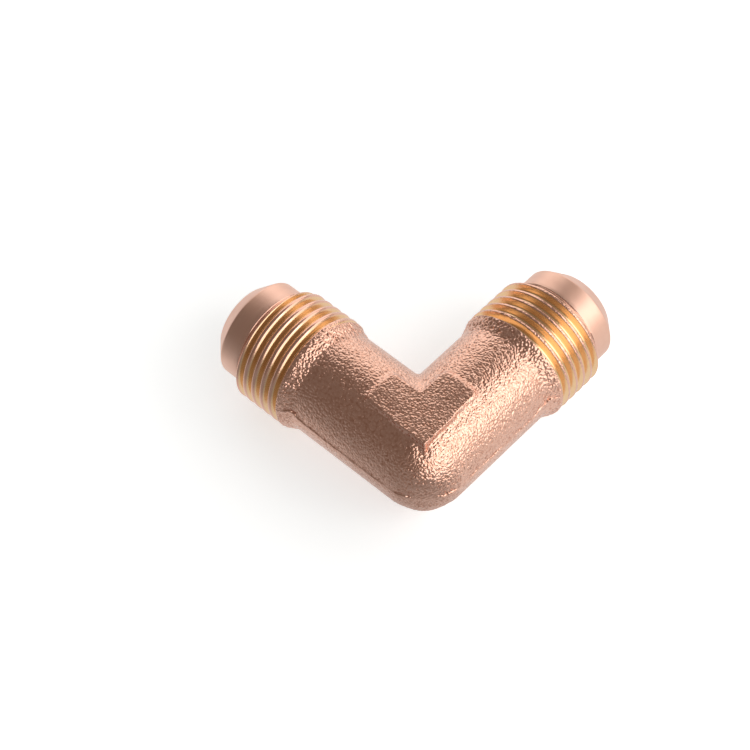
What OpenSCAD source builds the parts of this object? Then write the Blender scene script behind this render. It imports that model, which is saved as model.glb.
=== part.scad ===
// 90-degree flare union elbow, one brass forging with two machined 45-degree
// flare ends. Both leg axes lie in the XY plane and cross at the origin: one
// leg runs along +X, the other along +Y, and +Z is up out of the elbow.

/* [Flare thread] */
// Major diameter of the male flare thread, 5/8 inch
thread_d = 15.875; // [15.7:0.025:16.0]
// Pitch of the flare thread, 18 turns per inch
thread_pitch = 1.4111; // [1.38:0.0001:1.45]
// Radial depth of the thread grooves
thread_depth = 0.76; // [0.5:0.01:0.76]
// Width of the flat on each thread crest
crest_flat = 0.36; // [0.25:0.01:0.4]
// Number of grooves along the thread
thread_grooves = 5; // [4:1:5]
// Distance from the leg crossing to the start of the thread
thread_start = 16.8; // [16.7:0.1:17.0]

/* [Flare nose] */
// Diameter of the plain nose in front of the thread
nose_d = 13.5; // [13.2:0.05:13.8]
// Distance from the leg crossing to the back of the nose
nose_start = 25.1; // [25.1:0.05:25.6]
// Centre-to-end length of each leg
centre_to_end = 29.97; // [29.7:0.01:30.4]
// Outer diameter of the small end face of the 45-degree seat
seat_end_d = 9.42; // [9.0:0.02:10.0]

/* [Flow passage] */
// Diameter of the drilled bore in each leg
bore_d = 7.14; // [6.0:0.02:7.6]
// How far each drill's full diameter runs past the crossing
bore_overrun = 2.0; // [1.0:0.1:2.6]
// Included angle of the drill point
drill_point_angle = 118; // [110:1:135]

/* [Forged body] */
// Diameter of the plain round legs
leg_d = 14.18; // [13.9:0.02:14.2]
// Distance from the leg crossing to the start of the flared collar
collar_start = 15.1; // [14.8:0.1:15.4]
// Diameter of the collar where it meets the thread
collar_d = 15.7; // [15.2:0.05:15.7]
// Length of the straight band at the collar's large end
collar_band = 0.2; // [0.1:0.05:0.4]
// Radius of the ball that rounds the outside corner of the elbow
corner_r = 7.4; // [7.3:0.05:8.0]
// Distance from the leg crossing to the blunt face of the outside corner
corner_flat = 7.15; // [7.0:0.05:7.25]

/* [Wrench pads] */
// Distance between the upper and the lower wrench pad
pad_across = 14.3; // [14.3:0.02:14.6]
// Width of each arm of the L-shaped pad
pad_w = 5.1; // [4.4:0.1:5.8]
// Reach of each pad arm from the leg crossing
pad_reach = 7.05; // [6.4:0.05:8.0]
// Corner radius at the ends of the pad arms
pad_corner_r = 0.7; // [0.4:0.1:1.2]

/* [Trimmed flash line] */
// Height of the trimmed flash ridge above the leg
flash_h = 0.12; // [0.08:0.01:0.2]
// Thickness of the trimmed flash ridge
flash_t = 0.5; // [0.3:0.05:0.8]

/* [Hidden] */
$fn = 96;
leg_r = leg_d / 2;
bore_r = bore_d / 2;
thread_r = thread_d / 2;
root_r = thread_r - thread_depth;
nose_r = nose_d / 2;
seat_r = seat_end_d / 2;
pad_z = pad_across / 2;
seat_start = centre_to_end - (nose_r - seat_r);
drill_tip = bore_r / tan(drill_point_angle / 2);
// length of the flared part of the collar
collar_len = thread_start - collar_band - collar_start;
// flat at the bottom of a 60-degree groove
groove_root = thread_pitch - crest_flat - 2 * thread_depth * tan(30);
crest_end = thread_start + crest_flat + thread_grooves * thread_pitch;
// the lead chamfer falls from the last crest to just above the nose
lead_r = nose_r + 0.15;
forged = [0.72, 0.52, 0.42];
cut_brass = [0.83, 0.62, 0.30];
turned = [0.84, 0.66, 0.55];

// Lays a profile made around Z along +X.
module along_x() {
    rotate([0, 90, 0]) children();
}

// Lays a profile made around Z along +Y.
module along_y() {
    rotate([-90, 0, 0]) children();
}

// One leg of the forging around +Z: plain round, then the flared collar.
module leg_blank() {
    rotate_extrude()
        polygon([
            [0, 0],
            [leg_r, 0],
            [leg_r, collar_start],
            [leg_r + (collar_d / 2 - leg_r) * 0.15, collar_start + collar_len * 0.30],
            [leg_r + (collar_d / 2 - leg_r) * 0.75, collar_start + collar_len * 0.75],
            [collar_d / 2, thread_start - collar_band],
            [collar_d / 2, thread_start],
            [0, thread_start]
        ]);
}

// The drilled passage of one leg around +Z, with its drill point behind.
module drilling(far_end) {
    rotate_extrude()
        polygon([
            [0, -bore_overrun - drill_tip],
            [bore_r, -bore_overrun],
            [bore_r, far_end],
            [0, far_end]
        ]);
}

// Half-space behind a flat that faces away from both legs.
module behind_flat(distance) {
    rotate([0, 0, 45]) translate([-distance, -20, -20]) cube(40);
}

// Outside corner of the elbow: the mitre of both legs rounded by a ball,
// with the blunt face left where the flash was trimmed.
module elbow_corner() {
    intersection() {
        behind_flat(corner_flat);
        translate([-leg_r - 1, 0, 0]) along_x() cylinder(r = leg_r, h = leg_r + 1);
        translate([0, -leg_r - 1, 0]) along_y() cylinder(r = leg_r, h = leg_r + 1);
        sphere(r = corner_r);
    }
}

// Outline of one pad arm along +X with round corners at its end.
module pad_arm() {
    half = pad_w / 2;
    union() {
        translate([-half, -half]) square([pad_reach + half - pad_corner_r, pad_w]);
        translate([-half, -half + pad_corner_r])
            square([pad_reach + half, pad_w - 2 * pad_corner_r]);
        for (side = [-1, 1])
            translate([pad_reach - pad_corner_r, side * (half - pad_corner_r)])
                circle(r = pad_corner_r, $fn = 48);
    }
}

// L-shaped flats for the wrench, on the top and on the bottom.
module wrench_pads() {
    translate([0, 0, -pad_z])
        linear_extrude(height = pad_across)
            union() {
                pad_arm();
                mirror([1, -1]) pad_arm();
            }
}

// Low ridge left on the middle plane where the flash was trimmed off.
module flash_ridge() {
    edge = leg_r + flash_h;
    translate([0, 0, -flash_t / 2])
        linear_extrude(height = flash_t)
            union() {
                translate([0, -edge]) square([collar_start + 0.4, 2 * edge]);
                translate([-edge, 0]) square([2 * edge, collar_start + 0.4]);
                intersection() {
                    translate([-edge, -edge]) square([edge + 1, edge + 1]);
                    circle(r = corner_r + flash_h);
                    rotate(45) translate([-corner_flat - flash_h, -20]) square(40);
                }
            }
}

module forged_elbow_body() {
    color(forged)
        difference() {
            union() {
                along_x() leg_blank();
                along_y() leg_blank();
                elbow_corner();
                wrench_pads();
                flash_ridge();
            }
            along_x() drilling(thread_start + 1);
            along_y() drilling(thread_start + 1);
        }
}

// Threaded length of one leg around +Z: grooves, lead chamfer, flow bore.
module flare_thread() {
    groove_side = thread_depth * tan(30);
    rotate_extrude()
        polygon(concat(
            [[bore_r, thread_start], [thread_r, thread_start]],
            [for (i = [0 : thread_grooves - 1])
                let (t = thread_start + crest_flat + i * thread_pitch)
                each [
                    [thread_r, t],
                    [root_r, t + groove_side],
                    [root_r, t + groove_side + groove_root],
                    [thread_r, t + thread_pitch - crest_flat]
                ]],
            [
                [thread_r, crest_end],
                [lead_r, min(crest_end + (thread_r - lead_r), nose_start - 0.05)],
                [lead_r, nose_start],
                [bore_r, nose_start]
            ]
        ));
}

// Plain nose with the 45-degree flare seat, around +Z.
module flare_nose() {
    rotate_extrude()
        polygon([
            [bore_r, nose_start],
            [nose_r, nose_start],
            [nose_r, seat_start],
            [seat_r, centre_to_end],
            [bore_r, centre_to_end]
        ]);
}

module inlet_flare_thread() {
    color(cut_brass) along_x() flare_thread();
}

module inlet_flare_nose() {
    color(turned) along_x() flare_nose();
}

module outlet_flare_thread() {
    color(cut_brass) along_y() flare_thread();
}

module outlet_flare_nose() {
    color(turned) along_y() flare_nose();
}

forged_elbow_body();
inlet_flare_thread();
inlet_flare_nose();
outlet_flare_thread();
outlet_flare_nose();
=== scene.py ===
import math

import bmesh
import bpy
import numpy as np
from mathutils import Matrix, Vector


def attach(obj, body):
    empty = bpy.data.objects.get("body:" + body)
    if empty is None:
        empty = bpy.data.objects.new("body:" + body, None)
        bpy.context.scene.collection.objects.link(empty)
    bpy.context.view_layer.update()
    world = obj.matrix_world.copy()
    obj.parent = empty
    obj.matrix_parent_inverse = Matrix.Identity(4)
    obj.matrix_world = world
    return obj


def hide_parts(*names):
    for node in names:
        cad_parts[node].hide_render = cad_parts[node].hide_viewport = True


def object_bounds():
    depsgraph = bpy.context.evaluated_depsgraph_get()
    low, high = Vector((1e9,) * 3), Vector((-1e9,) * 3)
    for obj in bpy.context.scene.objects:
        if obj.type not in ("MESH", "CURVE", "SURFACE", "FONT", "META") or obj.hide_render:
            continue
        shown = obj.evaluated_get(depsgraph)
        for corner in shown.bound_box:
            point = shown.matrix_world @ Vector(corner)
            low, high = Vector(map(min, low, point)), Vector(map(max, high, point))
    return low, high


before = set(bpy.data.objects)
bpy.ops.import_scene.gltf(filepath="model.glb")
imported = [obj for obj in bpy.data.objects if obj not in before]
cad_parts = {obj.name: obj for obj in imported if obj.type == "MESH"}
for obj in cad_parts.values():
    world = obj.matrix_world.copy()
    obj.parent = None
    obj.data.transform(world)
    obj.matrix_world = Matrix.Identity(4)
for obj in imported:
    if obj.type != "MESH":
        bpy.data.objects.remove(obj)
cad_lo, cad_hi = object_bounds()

# ------------------------------------------------------------------ sizes, mm
LEG_R = 7.09
BORE_R = 3.57
THREAD_R = 7.93
PITCH = 1.4111
DEPTH = 0.76
# the two ends were cut a little differently: crest width and how round the crests are
CREST = {"x": 0.28, "y": 0.50}
ROUND = {"x": 0.07, "y": 0.34}
CREST_SKIN = {"x": 1.0, "y": 0.12}
# height of the fine lines that the cutter left in the grooves
CUT_LINES = {"x": 0.006, "y": 0.015}
THREAD_START = 16.8
CREST_END = 24.05
NOSE_START = 25.1
NOSE_R = 6.75
SEAT_START = 27.93
SEAT_END_R = 4.71
END = 29.97
PAD_Z = 7.15
PAD_HALF = 2.55
PAD_REACH = 7.05
COLLAR_START = 15.3
COLLAR_TOP = 17.0
CORNER_R = 7.42
CORNER_FLAT = 7.12
ROOT_R = THREAD_R - DEPTH
# where the helical groove lies on each leg, at angle zero
GROOVE_AT = {"x": 17.10, "y": 18.08}
GRID = 0.095


# ------------------------------------------------------------------ noise
def _hash(ix, iy, iz, seed):
    h = (
        ix.astype(np.uint32) * np.uint32(374761393)
        + iy.astype(np.uint32) * np.uint32(668265263)
        + iz.astype(np.uint32) * np.uint32(2147483647)
        + np.uint32(seed * 1013904223 & 0xFFFFFFFF)
    )
    h = (h ^ (h >> np.uint32(13))) * np.uint32(1274126177)
    h = (h ^ (h >> np.uint32(16))) * np.uint32(2246822519)
    return h ^ (h >> np.uint32(15))


def noise(p, scale, seed=1):
    """Gradient noise in about -1..1 at points p (n, 3) in mm, with features of the size scale in mm."""
    q = p / scale
    i0 = np.floor(q).astype(np.int64)
    f = (q - i0).astype(np.float64)
    w = f * f * f * (f * (f * 6 - 15) + 10)
    out = np.zeros(len(p))
    for dx in (0, 1):
        wx = w[:, 0] if dx else 1 - w[:, 0]
        for dy in (0, 1):
            wy = w[:, 1] if dy else 1 - w[:, 1]
            for dz in (0, 1):
                wz = w[:, 2] if dz else 1 - w[:, 2]
                h = _hash(i0[:, 0] + dx, i0[:, 1] + dy, i0[:, 2] + dz, seed)
                gx = (h & np.uint32(1023)).astype(float) / 511.5 - 1
                gy = ((h >> np.uint32(10)) & np.uint32(1023)).astype(float) / 511.5 - 1
                gz = ((h >> np.uint32(20)) & np.uint32(1023)).astype(float) / 511.5 - 1
                out += wx * wy * wz * (gx * (f[:, 0] - dx) + gy * (f[:, 1] - dy) + gz * (f[:, 2] - dz))
    return out * 1.5


def pebbles(p, cell, seed=1):
    """Small round bumps packed side by side, about -1..1, one to each cell of the size in mm."""
    q = p / cell
    i0 = np.floor(q).astype(np.int64)
    f = q - i0
    total = np.zeros(len(p))
    for dx in (-1, 0, 1):
        for dy in (-1, 0, 1):
            for dz in (-1, 0, 1):
                h = _hash(i0[:, 0] + dx, i0[:, 1] + dy, i0[:, 2] + dz, seed)
                jx = (h & np.uint32(1023)).astype(float) / 1023
                jy = ((h >> np.uint32(10)) & np.uint32(1023)).astype(float) / 1023
                jz = ((h >> np.uint32(20)) & np.uint32(1023)).astype(float) / 1023
                d2 = (dx + jx - f[:, 0]) ** 2 + (dy + jy - f[:, 1]) ** 2 + (dz + jz - f[:, 2]) ** 2
                total += np.exp(-9.0 * np.sqrt(d2))
    return 1.0 + 2.2 * np.log(total + 1e-9) / 9.0


def skin(p):
    """Relief of the forged and blasted skin, about -1..1."""
    return 0.66 * pebbles(p, 0.31, 3) + 0.40 * noise(p, 0.36, 5) + 0.12 * noise(p, 1.4, 9)


def sstep(a, b, x):
    s = np.clip((x - a) / (b - a), 0, 1)
    return s * s * (3 - 2 * s)


def smin(a, b, k):
    h = np.clip(0.5 + 0.5 * (b - a) / np.maximum(k, 1e-6), 0, 1)
    return b + (a - b) * h - k * h * (1 - h)


def smax(a, b, k):
    return -smin(-a, -b, k)


# ------------------------------------------------------------------ shape of one leg
def collar_radius(t):
    """Radius of the forged blank at distance t along a leg."""
    rise = (THREAD_R - LEG_R) * (t - COLLAR_START) / (COLLAR_TOP - COLLAR_START)
    return smin(LEG_R + smax(rise, 0 * t, 0.22), THREAD_R + 0 * t, 0.10)


def groove_radius(theta, t, leg):
    """Radius of the thread cutter's surface, a right-hand helix."""
    u = t - GROOVE_AT[leg] - PITCH * theta / (2 * np.pi)
    u = u - PITCH * np.round(u / PITCH)
    root_w = PITCH - CREST[leg] - 2 * DEPTH * math.tan(math.radians(30))
    flank = (np.abs(u) - root_w / 2) / math.tan(math.radians(30))
    r = ROOT_R + smax(flank, 0 * flank, 0.12)
    # fine lines left by the cutter, following the groove
    q = np.stack([np.cos(theta) * 1.2, np.sin(theta) * 1.2, t * 0.35], -1)
    r = r + CUT_LINES[leg] * np.sin(2 * np.pi * u / 0.24 + 1.6 * noise(q, 0.8, 41)) * np.clip(0.6 + 0.9 * noise(q, 0.45, 43), 0.1, 1.3)
    # the cutter lifts out of the metal towards the body
    return r + 1.05 * sstep(17.2, 16.6, t)


def blank_radius(t):
    """The blank along the whole leg: collar, thread cylinder, lead chamfer."""
    r = collar_radius(t)
    lead = THREAD_R - (t - CREST_END) * 1.22
    lead = smax(lead, NOSE_R + 0.10 + 0 * t, 0.05)
    # narrow recess where the chamfer meets the nose
    lead = lead - 0.08 * np.exp(-(((t - 24.99) / 0.085) ** 2))
    # rings left by the turning tool on the chamfer
    lead = lead + 0.012 * np.sin(2 * np.pi * t / 0.23) * sstep(CREST_END, CREST_END + 0.2, t) * sstep(24.98, 24.85, t)
    return np.where(t > CREST_END - 0.3, smin(r, lead, 0.10), r)


def skin_height(t):
    """How tall the skin's relief is at distance t along a leg, in mm."""
    h = 0.037 + 0.078 * sstep(14.4, 15.6, t)
    return h * (1 - 0.55 * sstep(17.0, 20.5, t)) * (1 - 0.9 * sstep(CREST_END - 0.3, CREST_END + 0.3, t))


def leg_point(theta, t, r, leg):
    if leg == "x":
        return np.stack([t, r * np.cos(theta), r * np.sin(theta)], -1)
    return np.stack([r * np.sin(theta), t, r * np.cos(theta)], -1)


def leg_surface(theta, t, leg):
    """Final radius of the threaded length and how far it was cut, 0 on the forged skin and 1 on cut metal."""
    base = blank_radius(t)
    p = leg_point(theta, t, base, leg)
    relief = skin_height(t) * skin(p) * (1 - (1 - CREST_SKIN[leg]) * sstep(16.9, 18.2, t))
    blank = base + np.minimum(relief, np.maximum(THREAD_R - base, 0.002))
    cutter = groove_radius(theta, t, leg) + 0.004 * noise(p * np.array([0.35, 0.35, 0.35]), 0.5, 17)
    k = 0.05 + (ROUND[leg] - 0.05) * sstep(16.9, 17.6, t)
    r = smin(blank, cutter, k)
    cut = sstep(-0.01, 0.10, blank - cutter - 0.15 * k) * (1 - 0.9 * sstep(CREST_END - 0.05, CREST_END + 0.3, t))
    return r, cut, relief


# ------------------------------------------------------------------ shape of the body
def pad_outline(x, y):
    """Signed distance to the L-shaped outline of the wrench pad."""
    def arm(a, b):
        mid, half = (PAD_REACH - PAD_HALF) / 2, (PAD_REACH + PAD_HALF) / 2
        rr = 0.75
        # only the arm's far end has round corners
        qx = np.abs(a - mid) - (half - rr)
        qy = np.abs(b) - (PAD_HALF - rr)
        rounded = np.sqrt(np.maximum(qx, 0) ** 2 + np.maximum(qy, 0) ** 2) + np.minimum(np.maximum(qx, qy), 0) - rr
        sharp = np.maximum(np.abs(a - mid) - half, np.abs(b) - PAD_HALF)
        return np.where(a > 1.0, rounded, sharp)

    return smin(arm(x, y), arm(y, x), 0.7)


def body_field(p):
    """Negative inside the forging. p is (n, 3) in mm."""
    x, y, z = p[:, 0], p[:, 1], p[:, 2]
    rx, ry = np.sqrt(y * y + z * z), np.sqrt(x * x + z * z)
    far_x, far_y = np.maximum(x, 0), np.maximum(y, 0)
    dx = rx - collar_radius(far_x)
    dy = ry - collar_radius(far_y)
    near = x > 15.0
    if near.any():
        th = np.arctan2(z[near], y[near])
        dx[near] = rx[near] - smin(collar_radius(x[near]), groove_radius(th, x[near], "x"), 0.05)
    near = y > 15.0
    if near.any():
        th = np.arctan2(x[near], z[near])
        dy[near] = ry[near] - smin(collar_radius(y[near]), groove_radius(th, y[near], "y"), 0.05)
    # crook of the elbow
    k_in = 0.55 * np.clip(x / 3, 0, 1) * np.clip(y / 3, 0, 1)
    crook = smin(dx, dy, k_in)
    # outside corner: mitre of both legs, ball and blunt face
    k_out = 1.5 * np.clip(-x / 3, 0, 1) * np.clip(-y / 3, 0, 1)
    ball = np.sqrt(x * x + y * y + z * z) - CORNER_R
    flat = (-x - y) / math.sqrt(2) - CORNER_FLAT
    corner = smax(smax(smax(dx, dy, k_out), ball, 0.8 * k_out), flat, 0.5 * k_out)
    d = np.where(
        (x >= 0) & (y >= 0), crook,
        np.where((x < 0) & (y < 0), corner, np.where(x >= 0, dx, dy)),
    )
    # trimmed flash band on the middle plane
    ox, oy = np.abs(y) - LEG_R, np.abs(x) - LEG_R
    corner2 = np.maximum(np.maximum(ox, oy), np.maximum(np.sqrt(x * x + y * y) - CORNER_R, flat))
    outline = np.where(
        (x >= 0) & (y >= 0), np.minimum(ox, oy),
        np.where((x < 0) & (y < 0), corner2, np.where(x >= 0, ox, oy)),
    )
    along = np.maximum(x, y)
    collar = sstep(12.6, 14.6, along)
    grow = collar_radius(np.maximum(along, 0)) - LEG_R
    wob = noise(np.stack([x, y, z * 0.2], -1), 1.3, 21) + 0.6 * noise(np.stack([x, y, z * 0.2], -1), 0.45, 23)
    half = 0.46 + 0.55 * collar + (0.16 + 0.22 * collar) * wob
    centre = 0.05 + 0.1 * noise(np.stack([x, y, 0 * z], -1), 3.1, 27)
    proud = (0.085 + 0.03 * collar) * (1 - sstep(16.1, 16.6, along)) * (-0.8 + 1.8 * sstep(-3.6, 1.5, along))
    band = smax(outline - grow - proud, np.abs(z - centre) - half, 0.12)
    band = np.where(along < 16.6, band, 1.0)
    d = smin(d, band, 0.08)
    # wrench pads, above and below; their edges soften towards the ends of the arms
    arm_end = sstep(1.0, 7.2, along)
    po = pad_outline(x, y)
    az = np.abs(z)
    pad = smax(po + 0.28 * (az - PAD_Z), az - PAD_Z, 0.07 + 0.30 * arm_end)
    pad = np.maximum(pad, 5.5 - az)
    d = smin(d, pad, 0.15 + 0.50 * arm_end)
    # flow passage with the two drill points
    bx = np.where(x > -2.0, rx - BORE_R, (rx - BORE_R - (x + 2.0) / -1.0 * -math.tan(math.radians(59))) * math.cos(math.radians(31)))
    by = np.where(y > -2.0, ry - BORE_R, (ry - BORE_R - (y + 2.0) / -1.0 * -math.tan(math.radians(59))) * math.cos(math.radians(31)))
    bore = np.minimum(bx, by)
    return np.maximum(d, -bore)


def field_gradient(p, e=0.02):
    g = np.zeros_like(p)
    for a in range(3):
        q = p.copy()
        q[:, a] += e
        r = p.copy()
        r[:, a] -= e
        g[:, a] = (body_field(q) - body_field(r)) / (2 * e)
    return g


def surface_nets(lo, hi, h):
    n = [int(math.ceil((hi[a] - lo[a]) / h)) + 1 for a in range(3)]
    ax = [lo[a] + h * np.arange(n[a]) for a in range(3)]
    v = np.empty(n, np.float32)
    yy, zz = np.meshgrid(ax[1], ax[2], indexing="ij")
    step = 6
    for i in range(0, n[0], step):
        xs = ax[0][i:i + step]
        p = np.empty((len(xs), n[1], n[2], 3))
        p[..., 0] = xs[:, None, None]
        p[..., 1] = yy
        p[..., 2] = zz
        v[i:i + step] = body_field(p.reshape(-1, 3)).reshape(len(xs), n[1], n[2])
    s = v < 0
    cnt = np.zeros([k - 1 for k in n], np.uint8)
    for i in (0, 1):
        for j in (0, 1):
            for k in (0, 1):
                cnt += s[i:n[0] - 1 + i, j:n[1] - 1 + j, k:n[2] - 1 + k]
    cells = np.argwhere((cnt > 0) & (cnt < 8))
    index = np.full(cnt.shape, -1, np.int32)
    index[tuple(cells.T)] = np.arange(len(cells))
    corners = [(i, j, k) for i in (0, 1) for j in (0, 1) for k in (0, 1)]
    val = {c: v[cells[:, 0] + c[0], cells[:, 1] + c[1], cells[:, 2] + c[2]].astype(float) for c in corners}
    acc, num = np.zeros((len(cells), 3)), np.zeros(len(cells))
    for a in corners:
        for axis in range(3):
            if a[axis] == 1:
                continue
            b = tuple(1 if m == axis else a[m] for m in range(3))
            va, vb = val[a], val[b]
            m = (va < 0) != (vb < 0)
            t = np.where(m, va / np.where(m, va - vb, 1), 0)
            for c in range(3):
                acc[:, c] += np.where(m, a[c] + (t if c == axis else 0), 0)
            num += m
    pos = np.array(lo) + h * (cells + acc / num[:, None])
    quads = []
    order = {
        0: [(0, -1, -1), (0, 0, -1), (0, 0, 0), (0, -1, 0)],
        1: [(-1, 0, -1), (-1, 0, 0), (0, 0, 0), (0, 0, -1)],
        2: [(-1, -1, 0), (0, -1, 0), (0, 0, 0), (-1, 0, 0)],
    }
    for axis in range(3):
        sl0 = tuple(slice(0, n[a] - 1) if a == axis else slice(1, n[a] - 1) for a in range(3))
        sl1 = tuple(slice(1, n[a]) if a == axis else slice(1, n[a] - 1) for a in range(3))
        s0, s1 = s[sl0], s[sl1]
        e = np.argwhere(s0 != s1)
        inside_first = s0[tuple(e.T)]
        off = np.array([0 if a == axis else 1 for a in range(3)])
        g = e + off
        q = np.stack([index[g[:, 0] + o[0], g[:, 1] + o[1], g[:, 2] + o[2]] for o in order[axis]], -1)
        q[~inside_first] = q[~inside_first][:, ::-1]
        quads.append(q)
    return pos, np.concatenate(quads)


def make_mesh(name, verts_mm, faces):
    me = bpy.data.meshes.new(name)
    me.vertices.add(len(verts_mm))
    me.vertices.foreach_set("co", (np.asarray(verts_mm, float) / 1000).astype(np.float32).ravel())
    faces = np.asarray(faces, np.int32)
    k = faces.shape[1]
    me.loops.add(faces.size)
    me.loops.foreach_set("vertex_index", faces.ravel())
    me.polygons.add(len(faces))
    me.polygons.foreach_set("loop_start", np.arange(0, faces.size, k, dtype=np.int32))
    me.update(calc_edges=True)
    me.validate()
    ob = bpy.data.objects.new(name, me)
    bpy.context.scene.collection.objects.link(ob)
    return ob


def set_attribute(me, name, values):
    a = me.attributes.get(name) or me.attributes.new(name, "FLOAT", "POINT")
    a.data.foreach_set("value", np.asarray(values, np.float32))


def coords(me):
    co = np.empty(len(me.vertices) * 3, np.float32)
    me.vertices.foreach_get("co", co)
    return co.reshape(-1, 3).astype(float) * 1000


# ------------------------------------------------------------------ forged body
def build_body():
    lo = (-8.2, -8.2, -8.3)
    hi = (THREAD_START + 0.55, THREAD_START + 0.55, 8.3)
    pos, quads = surface_nets(lo, hi, GRID)
    for _ in range(3):
        f = body_field(pos)
        g = field_gradient(pos)
        n2 = np.maximum((g * g).sum(1), 0.2)
        move = g * (f / n2)[:, None]
        ln = np.sqrt((move * move).sum(1))
        move *= np.minimum(1, 0.6 * GRID / np.maximum(ln, 1e-9))[:, None]
        pos = pos - move
    # relief of the skin on the outside only
    g = field_gradient(pos, 0.03)
    g /= np.maximum(np.sqrt((g * g).sum(1)), 1e-6)[:, None]
    x, y, z = pos[:, 0], pos[:, 1], pos[:, 2]
    rx, ry = np.sqrt(y * y + z * z), np.sqrt(x * x + z * z)
    in_bore = ((rx < BORE_R + 0.15) & (x > -4.6)) | ((ry < BORE_R + 0.15) & (y > -4.6))
    along = np.maximum(x, y)
    h = skin_height(along) * (1 + 0.8 * sstep(1.5, -3.5, along))
    on_pad = (np.abs(z) > PAD_Z - 0.1) & (pad_outline(x, y) < 0)
    h = np.where(on_pad, 0.52 * h, h)
    relief = skin(pos)
    lift = np.where(in_bore, 0, h * relief)
    lift = np.minimum(lift, np.clip(THREAD_R - collar_radius(np.maximum(along, 0)), 0.002, 0.08))
    groove = groove_cut(pos)
    lift = lift * (1 - groove)
    pos = pos + g * lift[:, None]
    ob = make_mesh("forged_elbow_body_mesh", pos, quads)
    me = ob.data
    bm = bmesh.new()
    bm.from_mesh(me)
    s = THREAD_START / 1000
    for co, no in (((s, 0, 0), (1, 0, 0)), ((0, s, 0), (0, 1, 0))):
        cut = bmesh.ops.bisect_plane(
            bm, geom=bm.verts[:] + bm.edges[:] + bm.faces[:], dist=1e-7,
            plane_co=co, plane_no=no, clear_outer=True, clear_inner=False,
        )
        axis = 0 if no[0] else 1
        rim = [e for e in bm.edges if e.is_boundary and all(abs(v.co[axis] - s) < 2e-6 for v in e.verts)]
        made = bmesh.ops.bridge_loops(bm, edges=rim)
        for f in made["faces"]:
            f.smooth = False
    bmesh.ops.recalc_face_normals(bm, faces=bm.faces[:])
    for e in bm.edges:
        if len(e.link_faces) == 2 and e.calc_face_angle(0) > math.radians(50):
            e.smooth = False
    bm.to_mesh(me)
    bm.free()
    for poly in me.polygons:
        poly.use_smooth = True
    me.update()
    p = coords(me)
    set_attribute(me, "grain", skin(p))
    pad = (np.abs(p[:, 2]) > PAD_Z - 0.12) & (pad_outline(p[:, 0], p[:, 1]) < 0)
    set_attribute(me, "skin", (1 - 0.5 * flash_mask(p)) * np.where(pad, 0.8, 1.0))
    x, y, z = p[:, 0], p[:, 1], p[:, 2]
    rx, ry = np.sqrt(y * y + z * z), np.sqrt(x * x + z * z)
    drilled = ((rx < BORE_R + 0.1) & (x > -4.6)) | ((ry < BORE_R + 0.1) & (y > -4.6))
    set_attribute(me, "cut", np.maximum(groove_cut(p), drilled))
    return ob


def groove_cut(p):
    """1 where the run-out of the thread has cut into the collar."""
    out = np.zeros(len(p))
    for leg, a in (("x", 0), ("y", 1)):
        t = p[:, a]
        if leg == "x":
            th, r = np.arctan2(p[:, 2], p[:, 1]), np.hypot(p[:, 1], p[:, 2])
        else:
            th, r = np.arctan2(p[:, 0], p[:, 2]), np.hypot(p[:, 0], p[:, 2])
        d = collar_radius(np.maximum(t, 0)) - groove_radius(th, t, leg)
        out = np.maximum(out, np.where((t > 15.2) & (r > 5), sstep(-0.02, 0.05, d), 0))
    return out


def flash_mask(p):
    x, y, z = p[:, 0], p[:, 1], p[:, 2]
    along = np.maximum(x, y)
    collar = sstep(12.6, 14.6, along)
    wob = noise(np.stack([x, y, z * 0.2], -1), 1.3, 21) + 0.6 * noise(np.stack([x, y, z * 0.2], -1), 0.45, 23)
    half = 0.46 + 0.55 * collar + (0.16 + 0.22 * collar) * wob
    r = np.sqrt(x * x + y * y + z * z)
    return sstep(0.10, -0.05, np.abs(z) - half) * (r > 5.5) * (1 - sstep(16.1, 16.6, along))


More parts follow.
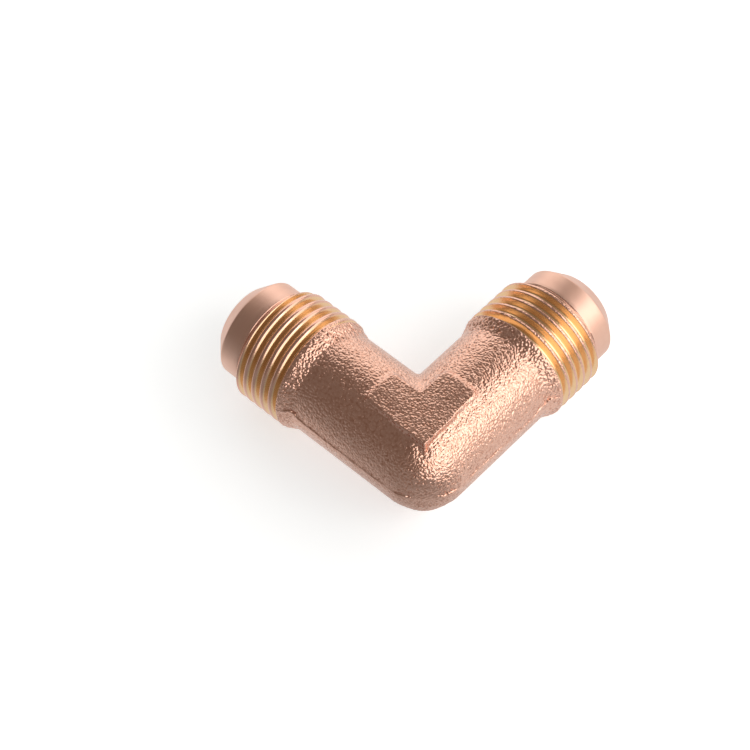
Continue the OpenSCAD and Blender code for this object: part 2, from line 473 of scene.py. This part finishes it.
# ------------------------------------------------------------------ turned parts
def revolve(name, rows, n_theta, leg, radius_of, bore=BORE_R):
    """Closed sleeve: outer surface over rows, both end faces, and the bore. radius_of(theta, t) -> radius, cut, relief."""
    th = np.arange(n_theta) * 2 * np.pi / n_theta
    tt, pp = np.meshgrid(rows, th, indexing="ij")
    r, cut, relief = radius_of(pp.ravel(), tt.ravel(), leg)
    outer = leg_point(pp.ravel(), tt.ravel(), r, leg)
    nr = len(rows)
    verts, a_cut, a_grain = [outer], [cut], [relief]
    inner_rows = np.linspace(rows[-1], rows[0], 5)
    ti, pi_ = np.meshgrid(inner_rows, th, indexing="ij")
    verts.append(leg_point(pi_.ravel(), ti.ravel(), np.full(ti.size, bore), leg))
    a_cut.append(np.ones(ti.size))
    a_grain.append(np.zeros(ti.size))
    total = nr + len(inner_rows)
    i = np.arange(total)[:, None]
    j = np.arange(n_theta)[None, :]
    i2, j2 = (i + 1) % total, (j + 1) % n_theta
    a = (i * n_theta + j).ravel()
    b = (i * n_theta + j2 + 0 * i).ravel()
    c = (i2 * n_theta + j2).ravel()
    d = (i2 * n_theta + j + 0 * i).ravel()
    faces = np.stack([a, b, c, d], -1)
    ob = make_mesh(name, np.concatenate(verts), faces)
    me = ob.data
    set_attribute(me, "cut", np.concatenate(a_cut))
    t = coords(me)[:, 0 if leg == "x" else 1]
    fade = (1 - 0.5 * sstep(17.0, 20.5, t)) * (1 - sstep(CREST_END - 0.1, CREST_END + 0.2, t))
    set_attribute(me, "skin", fade * (1 - (1 - CREST_SKIN[leg]) * sstep(16.9, 18.2, t)))
    set_attribute(me, "grain", np.concatenate(a_grain))
    bm = bmesh.new()
    bm.from_mesh(me)
    bmesh.ops.recalc_face_normals(bm, faces=bm.faces[:])
    bm.verts.ensure_lookup_table()
    sharp_rows = {0, nr - 1, nr, total - 1}
    for e in bm.edges:
        r0, r1 = e.verts[0].index // n_theta, e.verts[1].index // n_theta
        if r0 == r1 and r0 in sharp_rows:
            e.smooth = False
    bm.to_mesh(me)
    bm.free()
    for poly in me.polygons:
        poly.use_smooth = True
    me.update()
    return ob


def thread_rows():
    step = 0.034
    n = int(round((NOSE_START - THREAD_START) / step))
    return np.linspace(THREAD_START, NOSE_START, n + 1)


NOSE_PROFILE = [
    (NOSE_START, NOSE_R - 0.03), (NOSE_START + 0.02, NOSE_R - 0.012), (NOSE_START + 0.06, NOSE_R),
    (25.6, NOSE_R), (26.2, NOSE_R), (26.8, NOSE_R), (27.4, NOSE_R), (SEAT_START - 0.14, NOSE_R - 0.001),
    (SEAT_START - 0.07, NOSE_R - 0.008), (SEAT_START - 0.02, NOSE_R - 0.028), (SEAT_START + 0.04, NOSE_R - 0.062),
    (SEAT_START + 0.12, NOSE_R - 0.128), (SEAT_START + 0.4, NOSE_R - 0.402), (SEAT_START + 0.8, NOSE_R - 0.80),
    (SEAT_START + 1.2, NOSE_R - 1.20), (SEAT_START + 1.6, NOSE_R - 1.60), (END - 0.14, SEAT_END_R + 0.135),
    (END - 0.07, SEAT_END_R + 0.055), (END - 0.02, SEAT_END_R - 0.02), (END, SEAT_END_R - 0.12),
]


def build_nose(name, leg):
    """Plain nose, 45-degree seat, end face and the bore's small chamfer."""
    prof = list(NOSE_PROFILE) + [(END, 4.2), (END, BORE_R + 0.30), (END - 0.03, BORE_R + 0.22), (END - 0.25, BORE_R)]
    prof += [(28.5, BORE_R), (27.0, BORE_R), (25.8, BORE_R), (NOSE_START, BORE_R), (NOSE_START, 4.6), (NOSE_START, 5.8)]
    n_theta = 384
    th = np.arange(n_theta) * 2 * np.pi / n_theta
    t = np.array([q[0] for q in prof])
    r = np.array([q[1] for q in prof])
    tt, pp = np.meshgrid(t, th, indexing="ij")
    rr = np.repeat(r[:, None], n_theta, 1)
    verts = leg_point(pp.ravel(), tt.ravel(), rr.ravel(), leg)
    total = len(prof)
    i = np.arange(total)[:, None]
    j = np.arange(n_theta)[None, :]
    i2, j2 = (i + 1) % total, (j + 1) % n_theta
    faces = np.stack([(i * n_theta + j).ravel(), (i * n_theta + j2).ravel(), (i2 * n_theta + j2).ravel(), (i2 * n_theta + j).ravel()], -1)
    ob = make_mesh(name, verts, faces)
    me = ob.data
    bm = bmesh.new()
    bm.from_mesh(me)
    bmesh.ops.recalc_face_normals(bm, faces=bm.faces[:])
    for e in bm.edges:
        if len(e.link_faces) == 2 and e.calc_face_angle(0) > math.radians(30):
            e.smooth = False
    bm.to_mesh(me)
    bm.free()
    for poly in me.polygons:
        poly.use_smooth = True
    me.update()
    return ob


# ------------------------------------------------------------------ materials
def new_material(name):
    m = bpy.data.materials.new(name)
    m.use_nodes = True
    nt = m.node_tree
    bsdf = next(n for n in nt.nodes if n.type == "BSDF_PRINCIPLED")
    bsdf.inputs["Metallic"].default_value = 1.0
    return m, nt, bsdf


def node(nt, kind, **inputs):
    n = nt.nodes.new(kind)
    for k, v in inputs.items():
        if k in n.inputs:
            n.inputs[k].default_value = v
        else:
            setattr(n, k, v)
    return n


def attribute(nt, name):
    n = nt.nodes.new("ShaderNodeAttribute")
    n.attribute_type = "GEOMETRY"
    n.attribute_name = name
    return n.outputs["Fac"]


def ramp(nt, source, stops):
    n = nt.nodes.new("ShaderNodeValToRGB")
    el = n.color_ramp.elements
    while len(el) < len(stops):
        el.new(0.5)
    for e, (pos, col) in zip(el, stops):
        e.position = pos
        e.color = (*col, 1) if len(col) == 3 else col
    nt.links.new(source, n.inputs["Fac"])
    return n.outputs["Color"]


def mix_rgb(nt, fac, a, b, blend="MIX"):
    n = nt.nodes.new("ShaderNodeMix")
    n.data_type = "RGBA"
    n.blend_type = blend
    for sock, v in ((n.inputs[0], fac), (n.inputs[6], a), (n.inputs[7], b)):
        if isinstance(v, bpy.types.NodeSocket):
            nt.links.new(v, sock)
        elif isinstance(v, (int, float)):
            sock.default_value = v
        else:
            sock.default_value = (*v, 1)
    return n.outputs[2]


def math_node(nt, op, a, b=None, clamp=False):
    n = nt.nodes.new("ShaderNodeMath")
    n.operation = op
    n.use_clamp = clamp
    for i, v in enumerate((a, b)):
        if v is None:
            continue
        if isinstance(v, bpy.types.NodeSocket):
            nt.links.new(v, n.inputs[i])
        else:
            n.inputs[i].default_value = v
    return n.outputs[0]


def map_range(nt, v, a, b, c, d):
    n = nt.nodes.new("ShaderNodeMapRange")
    nt.links.new(v, n.inputs["Value"])
    for k, x in (("From Min", a), ("From Max", b), ("To Min", c), ("To Max", d)):
        n.inputs[k].default_value = x
    return n.outputs["Result"]


def noise_node(nt, scale, detail=3.0, rough=0.55, vector=None, distortion=0.0):
    n = node(nt, "ShaderNodeTexNoise", Scale=scale, Detail=detail, Roughness=rough, Distortion=distortion)
    if vector is None:
        tc = nt.nodes.new("ShaderNodeTexCoord")
        vector = tc.outputs["Object"]
    nt.links.new(vector, n.inputs["Vector"])
    return n.outputs["Fac"]


def bump(nt, height, strength, distance, normal=None):
    n = nt.nodes.new("ShaderNodeBump")
    n.inputs["Distance"].default_value = distance
    nt.links.new(height, n.inputs["Height"])
    if isinstance(strength, bpy.types.NodeSocket):
        nt.links.new(strength, n.inputs["Strength"])
    else:
        n.inputs["Strength"].default_value = strength
    if normal is not None:
        nt.links.new(normal, n.inputs["Normal"])
    return n.outputs["Normal"]


def leg_rings(nt, leg, step_m, wobble=0.0):
    """Stripes along a leg's axis, for turning marks."""
    tc = nt.nodes.new("ShaderNodeTexCoord")
    sep = nt.nodes.new("ShaderNodeSeparateXYZ")
    nt.links.new(tc.outputs["Object"], sep.inputs[0])
    t = sep.outputs[0 if leg == "x" else 1]
    com = nt.nodes.new("ShaderNodeCombineXYZ")
    nt.links.new(math_node(nt, "MULTIPLY", t, 1.0 / step_m), com.inputs[0])
    small = math_node(nt, "MULTIPLY", sep.outputs[2], 60.0)
    nt.links.new(small, com.inputs[1])
    n = node(nt, "ShaderNodeTexNoise", Scale=1.0, Detail=3.0, Roughness=0.6)
    nt.links.new(com.outputs[0], n.inputs["Vector"])
    return n.outputs["Fac"]


FORGED = (0.85, 0.50, 0.375)
FORGED_DARK = (0.70, 0.37, 0.26)
CUT = (0.91, 0.615, 0.36)
TURNED = (0.90, 0.57, 0.45)


def forged_material(name, leg=None):
    """Forged skin, with cut metal where the thread's cutter reached."""
    m, nt, bsdf = new_material(name)
    cut = attribute(nt, "cut")
    grain = attribute(nt, "grain")
    fine = noise_node(nt, 4300.0, 1.0, 0.5)
    pebble = nt.nodes.new("ShaderNodeTexVoronoi")
    pebble.feature = "SMOOTH_F1"
    pebble.inputs["Scale"].default_value = 3300.0
    pebble.inputs["Smoothness"].default_value = 0.35
    where = nt.nodes.new("ShaderNodeTexCoord")
    nt.links.new(where.outputs["Object"], pebble.inputs["Vector"])
    dome = math_node(nt, "SUBTRACT", 1.0, pebble.outputs["Distance"])
    coarse = noise_node(nt, 420.0, 3.0, 0.55)
    patch = noise_node(nt, 130.0, 2.0, 0.5)
    # pits are browner, tops are rosier
    g = map_range(nt, grain, -0.55, 0.45, 0.0, 1.0)
    tone = math_node(nt, "ADD", math_node(nt, "MULTIPLY", g, 0.62), math_node(nt, "MULTIPLY", fine, 0.38))
    col = ramp(nt, tone, [(0.22, FORGED_DARK), (0.48, FORGED), (0.80, (0.91, 0.565, 0.44))])
    col = mix_rgb(nt, map_range(nt, patch, 0.35, 0.68, 0.0, 0.30), col, (0.81, 0.485, 0.37))
    skin_rough = map_range(nt, coarse, 0.3, 0.7, 0.17, 0.24)
    # cut metal
    streak = noise_node(nt, 900.0, 2.0, 0.5)
    cut_col = mix_rgb(nt, map_range(nt, streak, 0.35, 0.7, 0.0, 0.5), CUT, (0.88, 0.58, 0.32))
    nt.links.new(mix_rgb(nt, cut, col, cut_col), bsdf.inputs["Base Color"])
    rough = nt.nodes.new("ShaderNodeMix")
    nt.links.new(cut, rough.inputs[0])
    nt.links.new(skin_rough, rough.inputs[2])
    rough.inputs[3].default_value = 0.24
    nt.links.new(rough.outputs[0], bsdf.inputs["Roughness"])
    strength = math_node(nt, "SUBTRACT", 1.0, math_node(nt, "MULTIPLY", cut, 0.95))
    strength = math_node(nt, "MULTIPLY", strength, attribute(nt, "skin"))
    nrm = bump(nt, dome, strength, 0.00008)
    nrm = bump(nt, fine, strength, 0.00005, nrm)
    nt.links.new(nrm, bsdf.inputs["Normal"])
    return m


def turned_material(name, leg):
    m, nt, bsdf = new_material(name)
    rings = leg_rings(nt, leg, 0.00006)
    wide = leg_rings(nt, leg, 0.0006)
    patch = noise_node(nt, 260.0, 3.0, 0.6)
    col = mix_rgb(nt, map_range(nt, patch, 0.35, 0.7, 0.0, 0.6), TURNED, (0.85, 0.52, 0.385))
    col = mix_rgb(nt, map_range(nt, wide, 0.4, 0.7, 0.0, 0.35), col, (0.93, 0.61, 0.46))
    nt.links.new(col, bsdf.inputs["Base Color"])
    nt.links.new(map_range(nt, patch, 0.3, 0.7, 0.33, 0.43), bsdf.inputs["Roughness"])
    nrm = bump(nt, rings, 0.7, 0.00003)
    grainy = noise_node(nt, 5200.0, 2.0, 0.5)
    nrm = bump(nt, grainy, 0.6, 0.00002, nrm)
    nt.links.new(nrm, bsdf.inputs["Normal"])
    return m


# ------------------------------------------------------------------ make the pieces
body = build_body()
body.name = "forged_elbow"
body.data.materials.append(forged_material("forged_brass_skin"))
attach(body, "root")
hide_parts("forged_elbow_body")

n_th = 560
for leg, side in (("x", "inlet"), ("y", "outlet")):
    th = revolve(side + "_thread", thread_rows(), n_th, leg, leg_surface)
    th.data.materials.append(forged_material("cut_brass_" + side, leg))
    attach(th, "root")
    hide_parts(side + "_flare_thread")
    no = build_nose(side + "_nose", leg)
    no.data.materials.append(turned_material("turned_brass_" + side, leg))
    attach(no, "root")
    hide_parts(side + "_flare_nose")

# ------------------------------------------------------------------ floor
FLOOR_Z = cad_lo.z
bpy.ops.mesh.primitive_plane_add(size=3.0, location=(0, 0, FLOOR_Z - 0.00002))
floor = bpy.context.object
floor.name = "pale_floor"
fm = bpy.data.materials.new("pale_floor")
fm.use_nodes = True
fb = next(n for n in fm.node_tree.nodes if n.type == "BSDF_PRINCIPLED")
fb.inputs["Base Color"].default_value = (0.93, 0.93, 0.93, 1)
fb.inputs["Roughness"].default_value = 0.9
fb.inputs["Specular IOR Level"].default_value = 0.1
fb.inputs["Emission Color"].default_value = (0.91, 0.98, 1.0, 1)
fb.inputs["Emission Strength"].default_value = 0.52
floor.data.materials.append(fm)
floor.visible_glossy = False

# the same floor as the metal mirrors it, shaded away from the side that the light comes from
bpy.ops.mesh.primitive_plane_add(size=3.0, location=(0, 0, FLOOR_Z - 0.00004))
mirrored = bpy.context.object
mirrored.name = "mirrored_floor"
mirrored.visible_camera = False
mirrored.visible_diffuse = False
mirrored.visible_shadow = False
mm = bpy.data.materials.new("mirrored_floor")
mm.use_nodes = True
mt = mm.node_tree
for n in list(mt.nodes):
    mt.nodes.remove(n)
mo = mt.nodes.new("ShaderNodeOutputMaterial")
me_ = mt.nodes.new("ShaderNodeEmission")
mg = mt.nodes.new("ShaderNodeNewGeometry")
md = mt.nodes.new("ShaderNodeVectorMath")
md.operation = "DOT_PRODUCT"
md.inputs[1].default_value = (1.0, 0.35, 0)
mt.links.new(mg.outputs["Position"], md.inputs[0])
mv = mt.nodes.new("ShaderNodeMapRange")
mv.interpolation_type = "SMOOTHSTEP"
for k, v in (("From Min", -0.020), ("From Max", 0.004), ("To Min", 0.30), ("To Max", 0.86)):
    mv.inputs[k].default_value = v
mt.links.new(md.outputs["Value"], mv.inputs["Value"])
mt.links.new(mv.outputs["Result"], me_.inputs["Strength"])
me_.inputs["Color"].default_value = (1, 1, 1, 1)
mt.links.new(me_.outputs[0], mo.inputs["Surface"])
mirrored.data.materials.append(mm)

# ------------------------------------------------------------------ camera
SCALE = 0.0079375
AZ, EL, ROLL = math.radians(-46.153844), math.radians(54.488659), math.radians(-1.709777)
DIST, PX, OX, OY = 35.166912, 65.125736, 422.533742, 450.188849
back = Vector((math.sin(AZ) * math.cos(EL), -math.cos(AZ) * math.cos(EL), math.sin(EL)))
right0 = Vector((0, 0, 1)).cross(back).normalized()
up0 = back.cross(right0)
right = math.cos(ROLL) * right0 + math.sin(ROLL) * up0
up = -math.sin(ROLL) * right0 + math.cos(ROLL) * up0
focal = PX * DIST
place = -((OX - 375) / focal * DIST * right - (OY - 375) / focal * DIST * up - DIST * back)
cam = bpy.data.cameras.new("camera")
cam.sensor_width = 36
cam.sensor_fit = "HORIZONTAL"
cam.lens = focal * 36 / 750
cam.clip_start = 0.01
cam.clip_end = 20
cam_ob = bpy.data.objects.new("camera", cam)
bpy.context.scene.collection.objects.link(cam_ob)
rot = Matrix((right, up, back)).transposed()
cam_ob.matrix_world = Matrix.Translation(place * SCALE) @ rot.to_4x4()
bpy.context.scene.camera = cam_ob


# ------------------------------------------------------------------ light
def panel(name, az, el, wide, high, radiance, color=(1, 1, 1), dist=0.5):
    """A soft panel that faces the object. az is measured from +X towards +Y, and wide and high are angles, all in degrees."""
    a, e = math.radians(az), math.radians(el)
    d = Vector((math.cos(e) * math.cos(a), math.cos(e) * math.sin(a), math.sin(e)))
    li = bpy.data.lights.new(name, "AREA")
    li.shape = "RECTANGLE"
    li.size = 2 * dist * math.tan(math.radians(wide / 2))
    li.size_y = 2 * dist * math.tan(math.radians(high / 2))
    li.energy = math.pi * li.size * li.size_y * radiance
    li.color = color
    ob = bpy.data.objects.new(name, li)
    bpy.context.scene.collection.objects.link(ob)
    side = Vector((0, 0, 1)).cross(d).normalized()
    ob.matrix_world = Matrix.Translation(d * dist) @ Matrix((side, d.cross(side), d)).transposed().to_4x4()
    return ob


panel("right_panel", -34, 34, 64, 44, 1.10)
panel("front_panel", -95, 33, 60, 56, 1.48)
panel("back_panel", 45, 21, 56, 42, 0.93)

world = bpy.context.scene.world or bpy.data.worlds.new("studio")
bpy.context.scene.world = world
world.use_nodes = True
wn = world.node_tree
for n in list(wn.nodes):
    wn.nodes.remove(n)
out = wn.nodes.new("ShaderNodeOutputWorld")
bg = wn.nodes.new("ShaderNodeBackground")
tc = wn.nodes.new("ShaderNodeTexCoord")
dot = wn.nodes.new("ShaderNodeVectorMath")
dot.operation = "DOT_PRODUCT"
dot.inputs[1].default_value = (0.55, -0.45, -0.70)
wn.links.new(tc.outputs["Generated"], dot.inputs[0])
mr = wn.nodes.new("ShaderNodeMapRange")
mr.inputs["From Min"].default_value = -0.8
mr.inputs["From Max"].default_value = 0.7
mr.inputs["To Min"].default_value = 0.20
mr.inputs["To Max"].default_value = 0.52
wn.links.new(dot.outputs["Value"], mr.inputs["Value"])
wn.links.new(mr.outputs["Result"], bg.inputs["Strength"])
bg.inputs["Color"].default_value = (1.0, 0.86, 0.77, 1)
wn.links.new(bg.outputs[0], out.inputs["Surface"])

bpy.context.scene.view_settings.view_transform = "Standard"
bpy.context.scene.view_settings.look = "None"
